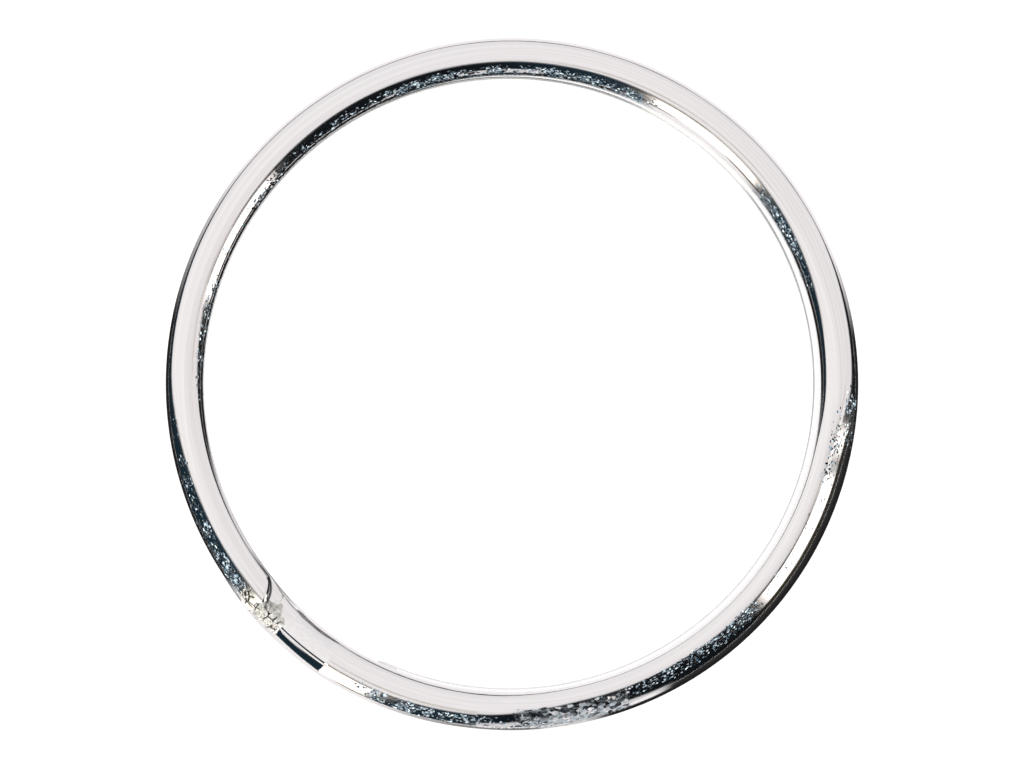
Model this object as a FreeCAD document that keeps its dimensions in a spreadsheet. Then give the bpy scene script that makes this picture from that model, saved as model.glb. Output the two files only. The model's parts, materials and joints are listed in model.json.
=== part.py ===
import FreeCAD, Part
import math
import os
import Sketcher

# A split key ring: one spring-steel wire wound into two flat turns that lie face to face.
# The ring lies flat, its axis is +Z, and Z = 0 is the seam between the two turns.
# Angles are in degrees round +Z from +X. From the upper free end the wire runs clockwise through the
# upper turn, down the crossover and on through the lower turn to the lower free end.
# Each free end springs away from the other turn, so its stretch of wire is a chain of short leaves.

doc = FreeCAD.newDocument("SplitKeyRing")

# The driving dimensions, in mm and degrees.
driving = [
    ("OuterDiameter", 35.0, "across the upper turn"),
    ("WireWidth", 1.9, "radial width of the wire"),
    ("WireHeight", 1.2, "height of one turn, from the seam to the top of its crown"),
    ("CrownRadius", 1.5, "large radius of the crowned face"),
    ("EdgeRadius", 0.55, "radius from the crown into the sides"),
    ("SeamRadius", 0.12, "corner radius beside the flat face"),
    ("LowerInset", 0.18, "how much smaller the lower turn's radius is"),
    ("LowerShift", 0.18, "how far the lower turn's centre sits off the axis"),
    ("LowerShiftAngle", 170.0, "direction of that offset"),
    ("UpperEndAngle", 222.0, "where the upper free end stops"),
    ("LowerEndAngle", 242.0, "where the lower free end stops"),
    ("ShoulderAngle", 264.0, "where the upper turn first bends down"),
    ("RampTopAngle", 236.5, "top of the steep ramp"),
    ("RampFootAngle", 226.5, "foot of the steep ramp"),
    ("FootEndAngle", 205.0, "where the wire has settled into the lower turn"),
    ("ShoulderDrop", 0.15, "how far the shoulder falls before the ramp"),
    ("RampSpread", 0.17, "how much the pressed ramp bulges outward"),
    ("RampCrownRadius", 2.6, "crown of both faces halfway down the ramp"),
    ("RampEdgeRadius", 0.4, "edge radius of both faces halfway down the ramp"),
    ("LeafAngle", 24.0, "angle of one leaf of a free end"),
    ("EndRelief", 0.15, "how far the flat face is relieved at a free end"),
    ("NoseInnerRadius", 1.3, "plan radius of a free end's inner corner"),
    ("NoseLand", 0.05, "flat left between a free end's inner and outer corners"),
]
leafCount = 5  # leaves in each free end, the last one is the tip

sheet = doc.addObject("Spreadsheet::Sheet", "Sizes")
for row, (alias, value, note) in enumerate(driving, 1):
    sheet.set("A%d" % row, alias)
    sheet.set("B%d" % row, str(value))
    sheet.set("C%d" % row, note)
    sheet.setAlias("B%d" % row, alias)
doc.recompute()

# The two turns, as expressions on the sheet. Each is drawn with its crown up, and the lower one is then
# turned over. toEnd is the way its wire runs to the free end: 1 is anticlockwise, -1 is clockwise.
upperTurn = {
    "name": "upper",
    "outer": "Sizes.OuterDiameter / 2",
    "centreX": "0",
    "centreY": "0",
    "end": "Sizes.UpperEndAngle",
    "toEnd": 1,
}
lowerTurn = {
    "name": "lower",
    "outer": "Sizes.OuterDiameter / 2 - Sizes.LowerInset",
    "centreX": "Sizes.LowerShift * cos(Sizes.LowerShiftAngle)",
    "centreY": "Sizes.LowerShift * sin(Sizes.LowerShiftAngle)",
    "end": "Sizes.LowerEndAngle",
    "toEnd": -1,
}

# The faces of the wire's section: the height of each and its radii.
flatFace = {"level": "0", "corner": "Sizes.SeamRadius"}
crownUp = {"level": "Sizes.WireHeight", "crown": "Sizes.CrownRadius", "corner": "Sizes.EdgeRadius"}
crownDown = dict(crownUp, level="-Sizes.WireHeight")
rampUpper = {"level": "Sizes.WireHeight / 2", "crown": "Sizes.RampCrownRadius", "corner": "Sizes.RampEdgeRadius"}
rampUnder = dict(rampUpper, level="-Sizes.WireHeight / 2")


def number(expression):
    """The present value of an expression on the sheet."""
    value = sheet.evalExpression(expression)
    return float(getattr(value, "Value", value))


def attach(sketch, role, axis=(0, 0, 1), angle="0", base=("0", "0", "0")):
    """Lay a sketch on one of its body's origin planes, turned about one of its own axes and moved."""
    body = sketch.getParentGeoFeatureGroup()
    plane = [feature for feature in body.Origin.OriginFeatures if feature.Role == role][0]
    sketch.AttachmentSupport = [(plane, "")]
    sketch.MapMode = "FlatFace"
    sketch.AttachmentOffset = FreeCAD.Placement(FreeCAD.Vector(), FreeCAD.Rotation(FreeCAD.Vector(*axis), 1))
    sketch.setExpression("AttachmentOffset.Rotation.Angle", angle)
    for name, expression in zip("xyz", base):
        sketch.setExpression("AttachmentOffset.Base." + name, expression)


def dimension(sketch, name, expression, kind, *where):
    """Add a dimension and bind it to the sheet."""
    index = sketch.addConstraint(Sketcher.Constraint(kind, *where, number(expression)))
    sketch.renameConstraint(index, name)
    sketch.setExpression("Constraints." + name, expression)


def relate(sketch, kind, *pairs):
    for where in pairs:
        sketch.addConstraint(Sketcher.Constraint(kind, *where))


def arc(centre, radius, start, end):
    circle = Part.Circle(FreeCAD.Vector(*centre, 0), FreeCAD.Vector(0, 0, 1), radius)
    return Part.ArcOfCircle(circle, math.radians(start), math.radians(end))


def line(first, last):
    return Part.LineSegment(FreeCAD.Vector(*first, 0), FreeCAD.Vector(*last, 0))


def faceOutline(face, way, middle, width):
    """The wide edge of one face of the section, with the tilt and height at which its corners start.

    way is 1 for the upper face, drawn right to left, and -1 for the one under it, drawn left to right.
    """
    level, corner = number(face["level"]), number(face["corner"])
    half = width / 2 - corner
    if "crown" not in face:
        return line((middle + way * half, level), (middle - way * half, level)), 0, level - way * corner
    radius = number(face["crown"])
    tilt = math.asin(half / (radius - corner))
    centreLevel = level - way * radius
    cornerLevel = centreLevel + way * (radius - corner) * math.cos(tilt)
    tilt = math.degrees(tilt)
    return arc((middle, centreLevel), radius, 90 * way - tilt, 90 * way + tilt), tilt, cornerLevel


def drawSection(sketch, outer, width, upper, under):
    """The wire's section. X is the distance from the ring's axis and Y the height.

    Each wide face is a flat line or a crown, and a corner arc leads from it into each side.
    """
    right, wide = number(outer), number(width)
    left = right - wide
    upperEdge, upperTilt, upperLevel = faceOutline(upper, 1, right - wide / 2, wide)
    underEdge, underTilt, underLevel = faceOutline(under, -1, right - wide / 2, wide)
    upperCorner, underCorner = number(upper["corner"]), number(under["corner"])
    sketch.addGeometry([
        underEdge,
        arc((right - underCorner, underLevel), underCorner, -90 + underTilt, 0),
        line((right, underLevel), (right, upperLevel)),
        arc((right - upperCorner, upperLevel), upperCorner, 0, 90 - upperTilt),
        upperEdge,
        arc((left + upperCorner, upperLevel), upperCorner, 90 + upperTilt, 180),
        line((left, upperLevel), (left, underLevel)),
        arc((left + underCorner, underLevel), underCorner, 180, 270 - underTilt),
    ])
    relate(sketch, "Tangent", *[(edge, 2, (edge + 1) % 8, 1) for edge in range(8)])
    relate(sketch, "Vertical", (2,), (6,))
    dimension(sketch, "OuterRadius", outer, "DistanceX", -1, 1, 2, 1)
    dimension(sketch, "Width", width, "DistanceX", 6, 1, 2, 1)
    for name, way, face, edge, corners in (("Under", -1, under, 0, (1, 7)), ("Upper", 1, upper, 4, (3, 5))):
        dimension(sketch, name + "Corner", face["corner"], "Radius", corners[0])
        relate(sketch, "Equal", corners)
        if "crown" in face:
            centreLevel = "%s - %d * %s" % (face["level"], way, face["crown"])
            dimension(sketch, name + "Crown", face["crown"], "Radius", edge)
            dimension(sketch, name + "CrownCentre", centreLevel, "DistanceY", -1, 1, edge, 3)
            relate(sketch, "Horizontal", (corners[0], 3, corners[1], 3))
        else:
            relate(sketch, "Horizontal", (edge,))
            relate(sketch, "PointOnObject", (edge, 1, -1))


def turnStretch(label, turn, start, span):
    """A stretch of one turn, swept from a start angle over a span towards the free end.

    The body's own X axis points out along the radius at the start, and its Z axis towards the crown.
    """
    body = doc.addObject("PartDesign::Body", label)
    body.Label = label
    if turn["toEnd"] > 0:
        body.Placement = FreeCAD.Placement(FreeCAD.Vector(), FreeCAD.Rotation(FreeCAD.Vector(0, 0, 1), 1))
        body.setExpression("Placement.Rotation.Angle", start)
    else:
        # half a turn about the line at half the start angle turns the body over and aims its X axis
        body.Placement = FreeCAD.Placement(FreeCAD.Vector(), FreeCAD.Rotation(FreeCAD.Vector(1, 0, 0), 180))
        body.setExpression("Placement.Rotation.Axis.x", "cos((%s) / 2)" % start)
        body.setExpression("Placement.Rotation.Axis.y", "sin((%s) / 2)" % start)
    body.setExpression("Placement.Base.x", turn["centreX"])
    body.setExpression("Placement.Base.y", turn["centreY"])
    section = body.newObject("Sketcher::SketchObject", label + "_section")
    attach(section, "XZ_Plane")
    drawSection(section, turn["outer"], "Sizes.WireWidth", crownUp, flatFace)
    doc.recompute()
    sweep = body.newObject("PartDesign::Revolution", label + "_sweep")
    sweep.Profile = section
    sweep.ReferenceAxis = (section, ["V_Axis"])
    sweep.setExpression("Angle", span)
    doc.recompute()
    return body


def cutAway(body, sketch, length=None):
    """Pocket a sketch out of a body, down to a length or through all of it both ways."""
    before = body.Shape.Volume
    doc.recompute()
    cut = body.newObject("PartDesign::Pocket", sketch.Name + "_cut")
    cut.Profile = sketch
    if length:
        cut.setExpression("Length", length)
    else:
        cut.Type = "ThroughAll"
        cut.Midplane = True
    doc.recompute()
    if not body.Shape.Volume < before:
        raise RuntimeError("%s cut nothing away" % sketch.Name)


def relieveFlat(body):
    """Slope the flat face of a tip up towards its end, so that the end stands off the other turn."""
    sketch = body.newObject("Sketcher::SketchObject", body.Label + "_relief")
    slope = "atan(Sizes.EndRelief / (Sizes.OuterDiameter / 2 * sin(Sizes.LeafAngle)))"
    attach(sketch, "XY_Plane", axis=(1, 0, 0), angle=slope)
    reach = number("Sizes.OuterDiameter")
    corners = [(0, 0), (reach, 0), (reach, reach), (0, reach)]
    sketch.addGeometry([line(corners[i], corners[(i + 1) % 4]) for i in range(4)])
    relate(sketch, "Coincident", *[(i, 2, (i + 1) % 4, 1) for i in range(4)], (0, 1, -1, 1))
    relate(sketch, "Horizontal", (0,), (2,))
    relate(sketch, "Vertical", (1,), (3,))
    dimension(sketch, "Across", "Sizes.OuterDiameter", "DistanceX", 0, 1, 0, 2)
    dimension(sketch, "Along", "Sizes.OuterDiameter", "DistanceY", 0, 1, 2, 1)
    cutAway(body, sketch, "Sizes.EndRelief * 2")


def roundNose(body, turn):
    """Round a tip's end in plan, with a large arc at its inner corner and a small one at its outer corner.

    The sketch's X axis points out along the radius at the very end, and the wire lies below it.
    """
    sketch = body.newObject("Sketcher::SketchObject", body.Label + "_nose")
    attach(sketch, "XY_Plane", angle="Sizes.LeafAngle")
    innerWall = turn["outer"] + " - Sizes.WireWidth"
    outerRadius = "Sizes.WireWidth - Sizes.NoseInnerRadius - Sizes.NoseLand"
    outer, inner = number(turn["outer"]), number(innerWall)
    innerCorner, outerCorner = number("Sizes.NoseInnerRadius"), number(outerRadius)
    # each corner arc touches its wall, a circle round the ring's axis, and the end line on the X axis
    innerX = math.sqrt((inner + innerCorner) ** 2 - innerCorner ** 2)
    outerX = math.sqrt((outer - outerCorner) ** 2 - outerCorner ** 2)
    innerTouch = -math.atan2(innerCorner, innerX)
    outerTouch = -math.atan2(outerCorner, outerX)
    start = (inner * math.cos(innerTouch), inner * math.sin(innerTouch))
    end = (outer * math.cos(outerTouch), outer * math.sin(outerTouch))
    beyond = number("Sizes.WireWidth")
    near, far = inner - beyond, outer + beyond
    sketch.addGeometry([
        arc((innerX, -innerCorner), innerCorner, 90, 180 + math.degrees(innerTouch)),
        line((innerX, 0), (outerX, 0)),
        arc((outerX, -outerCorner), outerCorner, math.degrees(outerTouch), 90),
        line(end, (far, end[1])),
        line((far, end[1]), (far, beyond)),
        line((far, beyond), (near, beyond)),
        line((near, beyond), (near, start[1])),
        line((near, start[1]), start),
    ])
    walls = [Part.Circle(FreeCAD.Vector(), FreeCAD.Vector(0, 0, 1), wall) for wall in (inner, outer)]
    sketch.addGeometry(walls, True)
    relate(sketch, "Tangent", (0, 1, 1, 1), (1, 2, 2, 2), (0, 2, 8), (2, 1, 9))
    relate(sketch, "Coincident", (2, 1, 3, 1), (3, 2, 4, 1), (4, 2, 5, 1), (5, 2, 6, 1), (6, 2, 7, 1), (7, 2, 0, 2))
    relate(sketch, "Coincident", (8, 3, -1, 1), (9, 3, -1, 1))
    relate(sketch, "Horizontal", (3,), (5,), (7,))
    relate(sketch, "Vertical", (4,), (6,))
    relate(sketch, "PointOnObject", (1, 1, -1), (1, 2, -1))
    dimension(sketch, "InnerCorner", "Sizes.NoseInnerRadius", "Radius", 0)
    dimension(sketch, "OuterCorner", outerRadius, "Radius", 2)
    dimension(sketch, "InnerWall", innerWall, "Radius", 8)
    dimension(sketch, "OuterWall", turn["outer"], "Radius", 9)
    dimension(sketch, "Beyond", "Sizes.WireWidth", "DistanceY", -1, 1, 4, 2)
    dimension(sketch, "Far", turn["outer"] + " + Sizes.WireWidth", "DistanceX", -1, 1, 4, 1)
    dimension(sketch, "Near", innerWall + " - Sizes.WireWidth", "DistanceX", -1, 1, 6, 1)
    cutAway(body, sketch)


def freeEnd(turn):
    """The leaves of one turn's free end, from the one beside the rest of the ring out to the tip."""
    leaves = []
    for leaf in range(leafCount):
        start = "%s - %d * Sizes.LeafAngle" % (turn["end"], turn["toEnd"] * (leafCount - leaf))
        last = leaf == leafCount - 1
        label = turn["name"] + ("_tip" if last else "_leaf_%d" % (leaf + 1))
        body = turnStretch(label, turn, start, "Sizes.LeafAngle")
        if last:
            relieveFlat(body)
            roundNose(body, turn)
        leaves.append(body)
    return leaves


def blend(first, last, share):
    if share in (0, 1):
        return (first, last)[share]
    return "(%s) * %.5f + (%s) * %.5f" % (first, 1 - share, last, share)


def eased(share):
    """A share from 0 to 1 that starts and ends level."""
    return share * share * (3 - 2 * share)


def even(share):
    return share


def crossoverStretch(label, first, last, steps, across=even):
    """A stretch of the crossover, lofted through sections that stand in planes through the ring's axis.

    first and last describe its two ends, and across says how its path moves sideways between them.
    """
    body = doc.addObject("PartDesign::Body", label)
    body.Label = label
    sections = []
    for step in range(steps + 1):
        share = (0, 1)[step == steps] if step in (0, steps) else step / steps
        side = across(share)
        section = body.newObject("Sketcher::SketchObject", "%s_section_%d" % (label, step))
        centreX = blend(first["centreX"], last["centreX"], side)
        centreY = blend(first["centreY"], last["centreY"], side)
        height = blend(first["height"], last["height"], share)
        angle = blend(first["angle"], last["angle"], share)
        attach(section, "XZ_Plane", axis=(0, 1, 0), angle=angle, base=(centreX, height, "-(%s)" % centreY))
        outer = blend(first["outer"], last["outer"], side)
        width = blend(first["width"], last["width"], side)
        drawSection(section, outer, width, *blendFaces(first, last, share))
        sections.append(section)
    doc.recompute()
    loft = body.newObject("PartDesign::AdditiveLoft", label + "_loft")
    loft.Profile = sections[0]
    loft.Sections = sections[1:]
    doc.recompute()
    return body


def blendFaces(first, last, share):
    """The two faces at a share of a stretch. The ramp passes through its own faces halfway."""
    if first["faces"] == last["faces"] or share in (0, 1):
        return (first if share < 1 else last)["faces"]
    return rampUpper, rampUnder


# The crossover's stations, from the shoulder on the upper turn to the foot on the lower one.
spread = {
    "outer": upperTurn["outer"] + " + Sizes.RampSpread",
    "width": "Sizes.WireWidth + Sizes.RampSpread",
    "centreX": "0",
    "centreY": "0",
}
shoulderStart = dict(upperTurn, width="Sizes.WireWidth", angle="Sizes.ShoulderAngle", height="0")
shoulderStart["faces"] = (crownUp, flatFace)
rampStart = dict(spread, angle="Sizes.RampTopAngle", height="-Sizes.ShoulderDrop", faces=(crownUp, flatFace))
rampEnd = dict(spread, angle="Sizes.RampFootAngle", height="0", faces=(flatFace, crownDown))
footEnd = dict(lowerTurn, width="Sizes.WireWidth", angle="Sizes.FootEndAngle", height="0")
footEnd["faces"] = (flatFace, crownDown)

leafSpan = "%d * Sizes.LeafAngle" % leafCount
parts = [
    turnStretch(
        "upper_turn", upperTurn, "Sizes.ShoulderAngle - 360",
        "360 - Sizes.ShoulderAngle + Sizes.UpperEndAngle - " + leafSpan,
    ),
    crossoverStretch("crossover_shoulder", shoulderStart, rampStart, 5),
    crossoverStretch("crossover_ramp", rampStart, rampEnd, 2),
    crossoverStretch("crossover_foot", rampEnd, footEnd, 4, eased),
    turnStretch(
        "lower_turn", lowerTurn, "Sizes.FootEndAngle",
        "360 + Sizes.FootEndAngle - Sizes.LowerEndAngle - " + leafSpan,
    ),
]
parts += freeEnd(upperTurn) + freeEnd(lowerTurn)
doc.recompute()

for item in doc.Objects:
    if "Invalid" in item.State or "Error" in item.State:
        raise RuntimeError("%s is %s" % (item.Label, item.State))
for body in parts:
    if body.Shape.isNull() or not body.Shape.isValid():
        raise RuntimeError("%s has no valid shape" % body.Label)

os.makedirs("parts", exist_ok=True)
for body in parts:
    body.Shape.exportStep("parts/%s.step" % body.Label)
    print("%-20s %8.3f mm3" % (body.Label, body.Shape.Volume))
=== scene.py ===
import json
import math

import bpy
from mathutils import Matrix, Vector

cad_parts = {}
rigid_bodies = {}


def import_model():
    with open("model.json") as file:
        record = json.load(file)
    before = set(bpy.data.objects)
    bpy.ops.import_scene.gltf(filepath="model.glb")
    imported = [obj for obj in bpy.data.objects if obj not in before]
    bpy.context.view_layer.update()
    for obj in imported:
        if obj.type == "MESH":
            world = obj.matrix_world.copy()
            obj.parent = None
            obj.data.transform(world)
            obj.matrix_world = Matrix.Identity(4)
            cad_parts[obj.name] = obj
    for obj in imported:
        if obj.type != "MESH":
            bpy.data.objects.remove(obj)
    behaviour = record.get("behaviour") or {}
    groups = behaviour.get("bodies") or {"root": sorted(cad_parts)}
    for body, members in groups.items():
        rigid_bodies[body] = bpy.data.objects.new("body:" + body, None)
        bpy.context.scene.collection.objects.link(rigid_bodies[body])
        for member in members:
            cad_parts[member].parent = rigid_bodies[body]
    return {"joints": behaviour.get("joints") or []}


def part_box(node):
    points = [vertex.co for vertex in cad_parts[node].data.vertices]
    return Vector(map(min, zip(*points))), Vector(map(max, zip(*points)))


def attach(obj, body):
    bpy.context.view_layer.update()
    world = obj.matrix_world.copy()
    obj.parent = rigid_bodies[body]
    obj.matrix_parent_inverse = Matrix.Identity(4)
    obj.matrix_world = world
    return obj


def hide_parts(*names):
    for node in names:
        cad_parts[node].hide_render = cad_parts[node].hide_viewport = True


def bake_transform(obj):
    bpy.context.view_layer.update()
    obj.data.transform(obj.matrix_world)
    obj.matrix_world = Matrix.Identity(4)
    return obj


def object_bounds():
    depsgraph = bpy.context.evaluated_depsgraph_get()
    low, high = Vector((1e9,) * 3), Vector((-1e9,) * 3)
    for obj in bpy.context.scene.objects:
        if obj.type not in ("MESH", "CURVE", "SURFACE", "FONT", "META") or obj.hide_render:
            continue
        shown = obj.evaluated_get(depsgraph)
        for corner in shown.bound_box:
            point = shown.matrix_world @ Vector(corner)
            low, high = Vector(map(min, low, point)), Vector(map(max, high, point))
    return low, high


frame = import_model()
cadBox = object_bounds()

mm = 0.001
joints = {joint["name"]: joint for joint in frame["joints"]}


def angleOf(jointName):
    axis = joints[jointName]["axis"]
    return math.degrees(math.atan2(axis[1], axis[0])) % 360


def blendValue(start, end, share):
    return start + (end - start) * share


def eased(share):
    return share * share * (3 - 2 * share)


# the wire: a half-round crown on each outside, the flat faces of the two turns against each other
wire = {
    "width": 1.9 * mm,
    "height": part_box("upper_turn")[1].z,
    "crownRadius": 1.5 * mm,
    "edgeRadius": 0.55 * mm,
    "seamRadius": 0.12 * mm,
    "flatRadius": 400 * mm,  # the flat face is drawn as a very large arc
    "crownSteps": 20,
    "edgeSteps": 9,
    "degreesPerStep": 0.5,
    "upperSpacing": 1.5,  # degrees between the sections of the upper turn
    "mergeDistance": 0.0005 * mm,
    "smoothAngle": 32,
}
upperTurn = {"outer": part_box("upper_turn")[1].x, "centre": Vector((0, 0, 0)), "turnedOver": False}
lowerTurn = {"outer": 17.32 * mm, "turnedOver": True}
firstHinge = joints["lower_end_opens"]
lowerTurn["centre"] = Vector(firstHinge["pos_m"]) - Vector(firstHinge["axis"]) * (
    lowerTurn["outer"] - wire["width"] / 2
)
lowerTurn["centre"].z = 0


def deselectAll():
    if bpy.context.object and bpy.context.object.mode != "OBJECT":
        bpy.ops.object.mode_set(mode="OBJECT")
    bpy.ops.object.select_all(action="DESELECT")


def newPiece(name):
    # an empty mesh in edit mode, from a plane that is cleared
    deselectAll()
    bpy.ops.mesh.primitive_plane_add(size=mm)
    piece = bpy.context.object
    piece.name = name
    piece.data.name = name
    bpy.ops.object.mode_set(mode="EDIT")
    bpy.ops.mesh.select_all(action="SELECT")
    bpy.ops.mesh.delete(type="VERT")
    return piece


def halfRound():
    # the section as the long run of the wire has it; x values count from the turn's axis
    return {
        "outer": upperTurn["outer"],
        "inner": upperTurn["outer"] - wire["width"],
        "middle": upperTurn["outer"] - wire["width"] / 2,
        "top": wire["height"],
        "bottom": 0,
        "topCurve": 1 / wire["crownRadius"],
        "bottomCurve": 1 / wire["flatRadius"],
        "topOuterEdge": wire["edgeRadius"],
        "topInnerEdge": wire["edgeRadius"],
        "bottomOuterEdge": wire["seamRadius"],
        "bottomInnerEdge": wire["seamRadius"],
    }


def faceArcs(section, side):
    # the tilt of a crown at each of its edge arcs, and the heights of those arcs' centres
    radius = 1 / section[side + "Curve"]
    outerEdge, innerEdge = section[side + "OuterEdge"], section[side + "InnerEdge"]
    outerTilt = math.asin((section["outer"] - outerEdge - section["middle"]) / (radius - outerEdge))
    innerTilt = math.asin((section["middle"] - section["inner"] - innerEdge) / (radius - innerEdge))
    outerDrop = radius - (radius - outerEdge) * math.cos(outerTilt)
    innerDrop = radius - (radius - innerEdge) * math.cos(innerTilt)
    return radius, outerTilt, innerTilt, outerDrop, innerDrop


def drawSection(section):
    # one closed outline in the XZ plane, over the top from outside to inside, and back underneath
    outer, inner, middle = section["outer"], section["inner"], section["middle"]
    top, bottom = section["top"], section["bottom"]
    quarter = math.pi / 2

    def turn(steps, angle, x, z):
        bpy.ops.mesh.spin(steps=steps, angle=angle, center=(x, 0, z), axis=(0, 1, 0))

    def rise(distance):
        bpy.ops.mesh.extrude_region_move(TRANSFORM_OT_translate={"value": (0, 0, distance)})

    radius, outerTilt, innerTilt, outerDrop, innerDrop = faceArcs(section, "top")
    outerEdge, innerEdge = section["topOuterEdge"], section["topInnerEdge"]
    bpy.ops.mesh.select_all(action="DESELECT")
    bpy.ops.mesh.primitive_plane_add(size=0.1 * mm, location=(outer, 0, top - outerDrop))
    bpy.ops.mesh.merge(type="CENTER")
    turn(wire["edgeSteps"], quarter - outerTilt, outer - outerEdge, top - outerDrop)
    turn(wire["crownSteps"], outerTilt + innerTilt, middle, top - radius)
    turn(wire["edgeSteps"], quarter - innerTilt, inner + innerEdge, top - innerDrop)
    radius, outerTilt, innerTilt, outerRise, innerRise = faceArcs(section, "bottom")
    outerEdge, innerEdge = section["bottomOuterEdge"], section["bottomInnerEdge"]
    rise(bottom + innerRise - top + innerDrop)
    turn(wire["edgeSteps"], quarter - innerTilt, inner + innerEdge, bottom + innerRise)
    turn(wire["crownSteps"], outerTilt + innerTilt, middle, bottom + radius)
    turn(wire["edgeSteps"], quarter - outerTilt, outer - outerEdge, bottom + outerRise)
    rise(top - outerDrop - bottom - outerRise)
    bpy.ops.mesh.select_linked()
    bpy.ops.mesh.remove_doubles(threshold=wire["mergeDistance"])


def turnedBy(section, difference):
    # the same section on another circle
    moved = dict(section)
    for side in ("outer", "inner", "middle"):
        moved[side] = section[side] + difference
    return moved


def placePiece(piece, turn, fromAngle):
    # pieces of the lower turn are made crown up, and turned over here
    piece.rotation_euler = (math.pi if turn["turnedOver"] else 0, 0, math.radians(fromAngle))
    piece.location = turn["centre"]
    bpy.ops.object.transform_apply(location=True, rotation=True, scale=True)


def closeMesh(piece):
    bpy.ops.object.mode_set(mode="EDIT")
    bpy.ops.mesh.select_all(action="SELECT")
    bpy.ops.mesh.remove_doubles(threshold=wire["mergeDistance"])
    bpy.ops.mesh.normals_make_consistent(inside=False)
    bpy.ops.object.mode_set(mode="OBJECT")
    bpy.ops.object.shade_smooth_by_angle(angle=math.radians(wire["smoothAngle"]))


def sweepPiece(name, turn, fromAngle, toAngle):
    # a stretch of wire along its turn
    piece = newPiece(name)
    drawSection(turnedBy(halfRound(), turn["outer"] - upperTurn["outer"]))
    bpy.ops.mesh.edge_face_add()
    bpy.ops.mesh.select_all(action="SELECT")
    sweep = abs(toAngle - fromAngle)
    bpy.ops.mesh.spin(
        steps=max(2, round(sweep / wire["degreesPerStep"])),
        angle=-math.radians(sweep),
        center=(0, 0, 0),
        axis=(0, 0, 1),
    )
    bpy.ops.object.mode_set(mode="OBJECT")
    placePiece(piece, turn, fromAngle)
    closeMesh(piece)
    return piece


def loftPiece(name, stations, turn=None):
    # a stretch whose section changes: each station is (angle, centre, section)
    rings = []
    for number, (angle, centre, section) in enumerate(stations):
        ring = newPiece("%s_%d" % (name, number))
        drawSection(section)
        bpy.ops.object.mode_set(mode="OBJECT")
        ring.rotation_euler.z = math.radians(angle)
        ring.location = centre
        rings.append(ring)
    deselectAll()
    for ring in rings:
        ring.select_set(True)
    piece = rings[0]
    bpy.context.view_layer.objects.active = piece
    bpy.ops.object.transform_apply(location=True, rotation=True, scale=True)
    bpy.ops.object.join()
    piece.name = piece.data.name = name
    bpy.ops.object.mode_set(mode="EDIT")
    bpy.ops.mesh.select_all(action="SELECT")
    bpy.ops.mesh.bridge_edge_loops(type="SINGLE")
    bpy.ops.mesh.select_all(action="SELECT")
    bpy.ops.mesh.fill_holes(sides=0)
    bpy.ops.object.mode_set(mode="OBJECT")
    if turn:
        placePiece(piece, turn, 0)
    closeMesh(piece)
    return piece


# the crossover takes the wire from the upper turn down to the lower one, where it was pressed
crossover = {
    "shoulderStart": 264,
    "rampTop": 236.5,
    "rampFoot": 226.5,
    "footEnd": 205,
    "shoulderDrop": 0.15 * mm,
    "spread": 0.17 * mm,
    "insideRound": 0.75 * mm,
    "outsideRound": 0.75 * mm,
    "stepCrown": 1.9 * mm,
    "stepBelly": 3 * mm,
    "bellyEdge": 0.25 * mm,
    "rampSpacing": 0.3,  # degrees between the sections of the ramp
    "rampBend": 0.09,
    "settledBy": 0.36,
}


def mixed(first, second, share):
    return {key: blendValue(first[key], second[key], share) for key in first}


def shoulderSection(share):
    section = halfRound()
    section["outer"] += crossover["spread"] * share
    section["middle"] = (section["outer"] + section["inner"]) / 2
    section["top"] -= crossover["shoulderDrop"] * share
    section["bottom"] -= crossover["shoulderDrop"] * share
    return section


def stepSection():
    # the wire where it has just come down the step: still crowned on top, and round inside
    section = shoulderSection(1)
    section["top"], section["bottom"] = 0, -wire["height"]
    section["topCurve"] = 1 / crossover["stepCrown"]
    section["topOuterEdge"] = crossover["outsideRound"]
    section["topInnerEdge"] = crossover["insideRound"]
    section["bottomCurve"] = 1 / crossover["stepBelly"]
    section["bottomOuterEdge"] = section["bottomInnerEdge"] = crossover["bellyEdge"]
    return section


def rampSection(share):
    # an even slope that starts and ends within a short bend
    bend = crossover["rampBend"]
    fall = (share - bend / 2) / (1 - bend)
    if share < bend:
        fall = share * share / (2 * bend * (1 - bend))
    if share > 1 - bend:
        fall = 1 - (1 - share) ** 2 / (2 * bend * (1 - bend))
    section = mixed(shoulderSection(1), stepSection(), fall)
    section["topInnerEdge"] = blendValue(
        wire["edgeRadius"], crossover["insideRound"], eased(min(1, share * 2))
    )
    return section


def crownDownSection():
    # the lower turn's section: flat face up, crown down
    section = halfRound()
    lower = dict(section)
    for part in ("Curve", "OuterEdge", "InnerEdge"):
        lower["top" + part] = section["bottom" + part]
        lower["bottom" + part] = section["top" + part]
    lower["top"], lower["bottom"] = 0, -wire["height"]
    return lower


def footSection(share):
    # the top goes flat under the free end, and the wire eases on to the lower turn's own circle
    lower = crownDownSection()
    slide = eased(share)
    lower["outer"] = blendValue(upperTurn["outer"] + crossover["spread"], lowerTurn["outer"], slide)
    lower["inner"] = blendValue(
        upperTurn["outer"] - wire["width"], lowerTurn["outer"] - wire["width"], slide
    )
    lower["middle"] = (lower["outer"] + lower["inner"]) / 2
    settled = eased(min(1, share / crossover["settledBy"]))
    return lowerTurn["centre"] * slide, mixed(stepSection(), lower, settled)


def stationsBetween(fromAngle, toAngle, sectionAt, spacing=1.0):
    count = max(2, round(abs(toAngle - fromAngle) / spacing))
    stations = []
    for number in range(count + 1):
        share = number / count
        found = sectionAt(share)
        centre, section = found if isinstance(found, tuple) else (Vector((0, 0, 0)), found)
        stations.append((blendValue(fromAngle, toAngle, share), centre, section))
    return stations


pieces = []


def finishPiece(piece, *nodes):
    if nodes:
        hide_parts(*nodes)
    pieces.append(piece)


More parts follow.
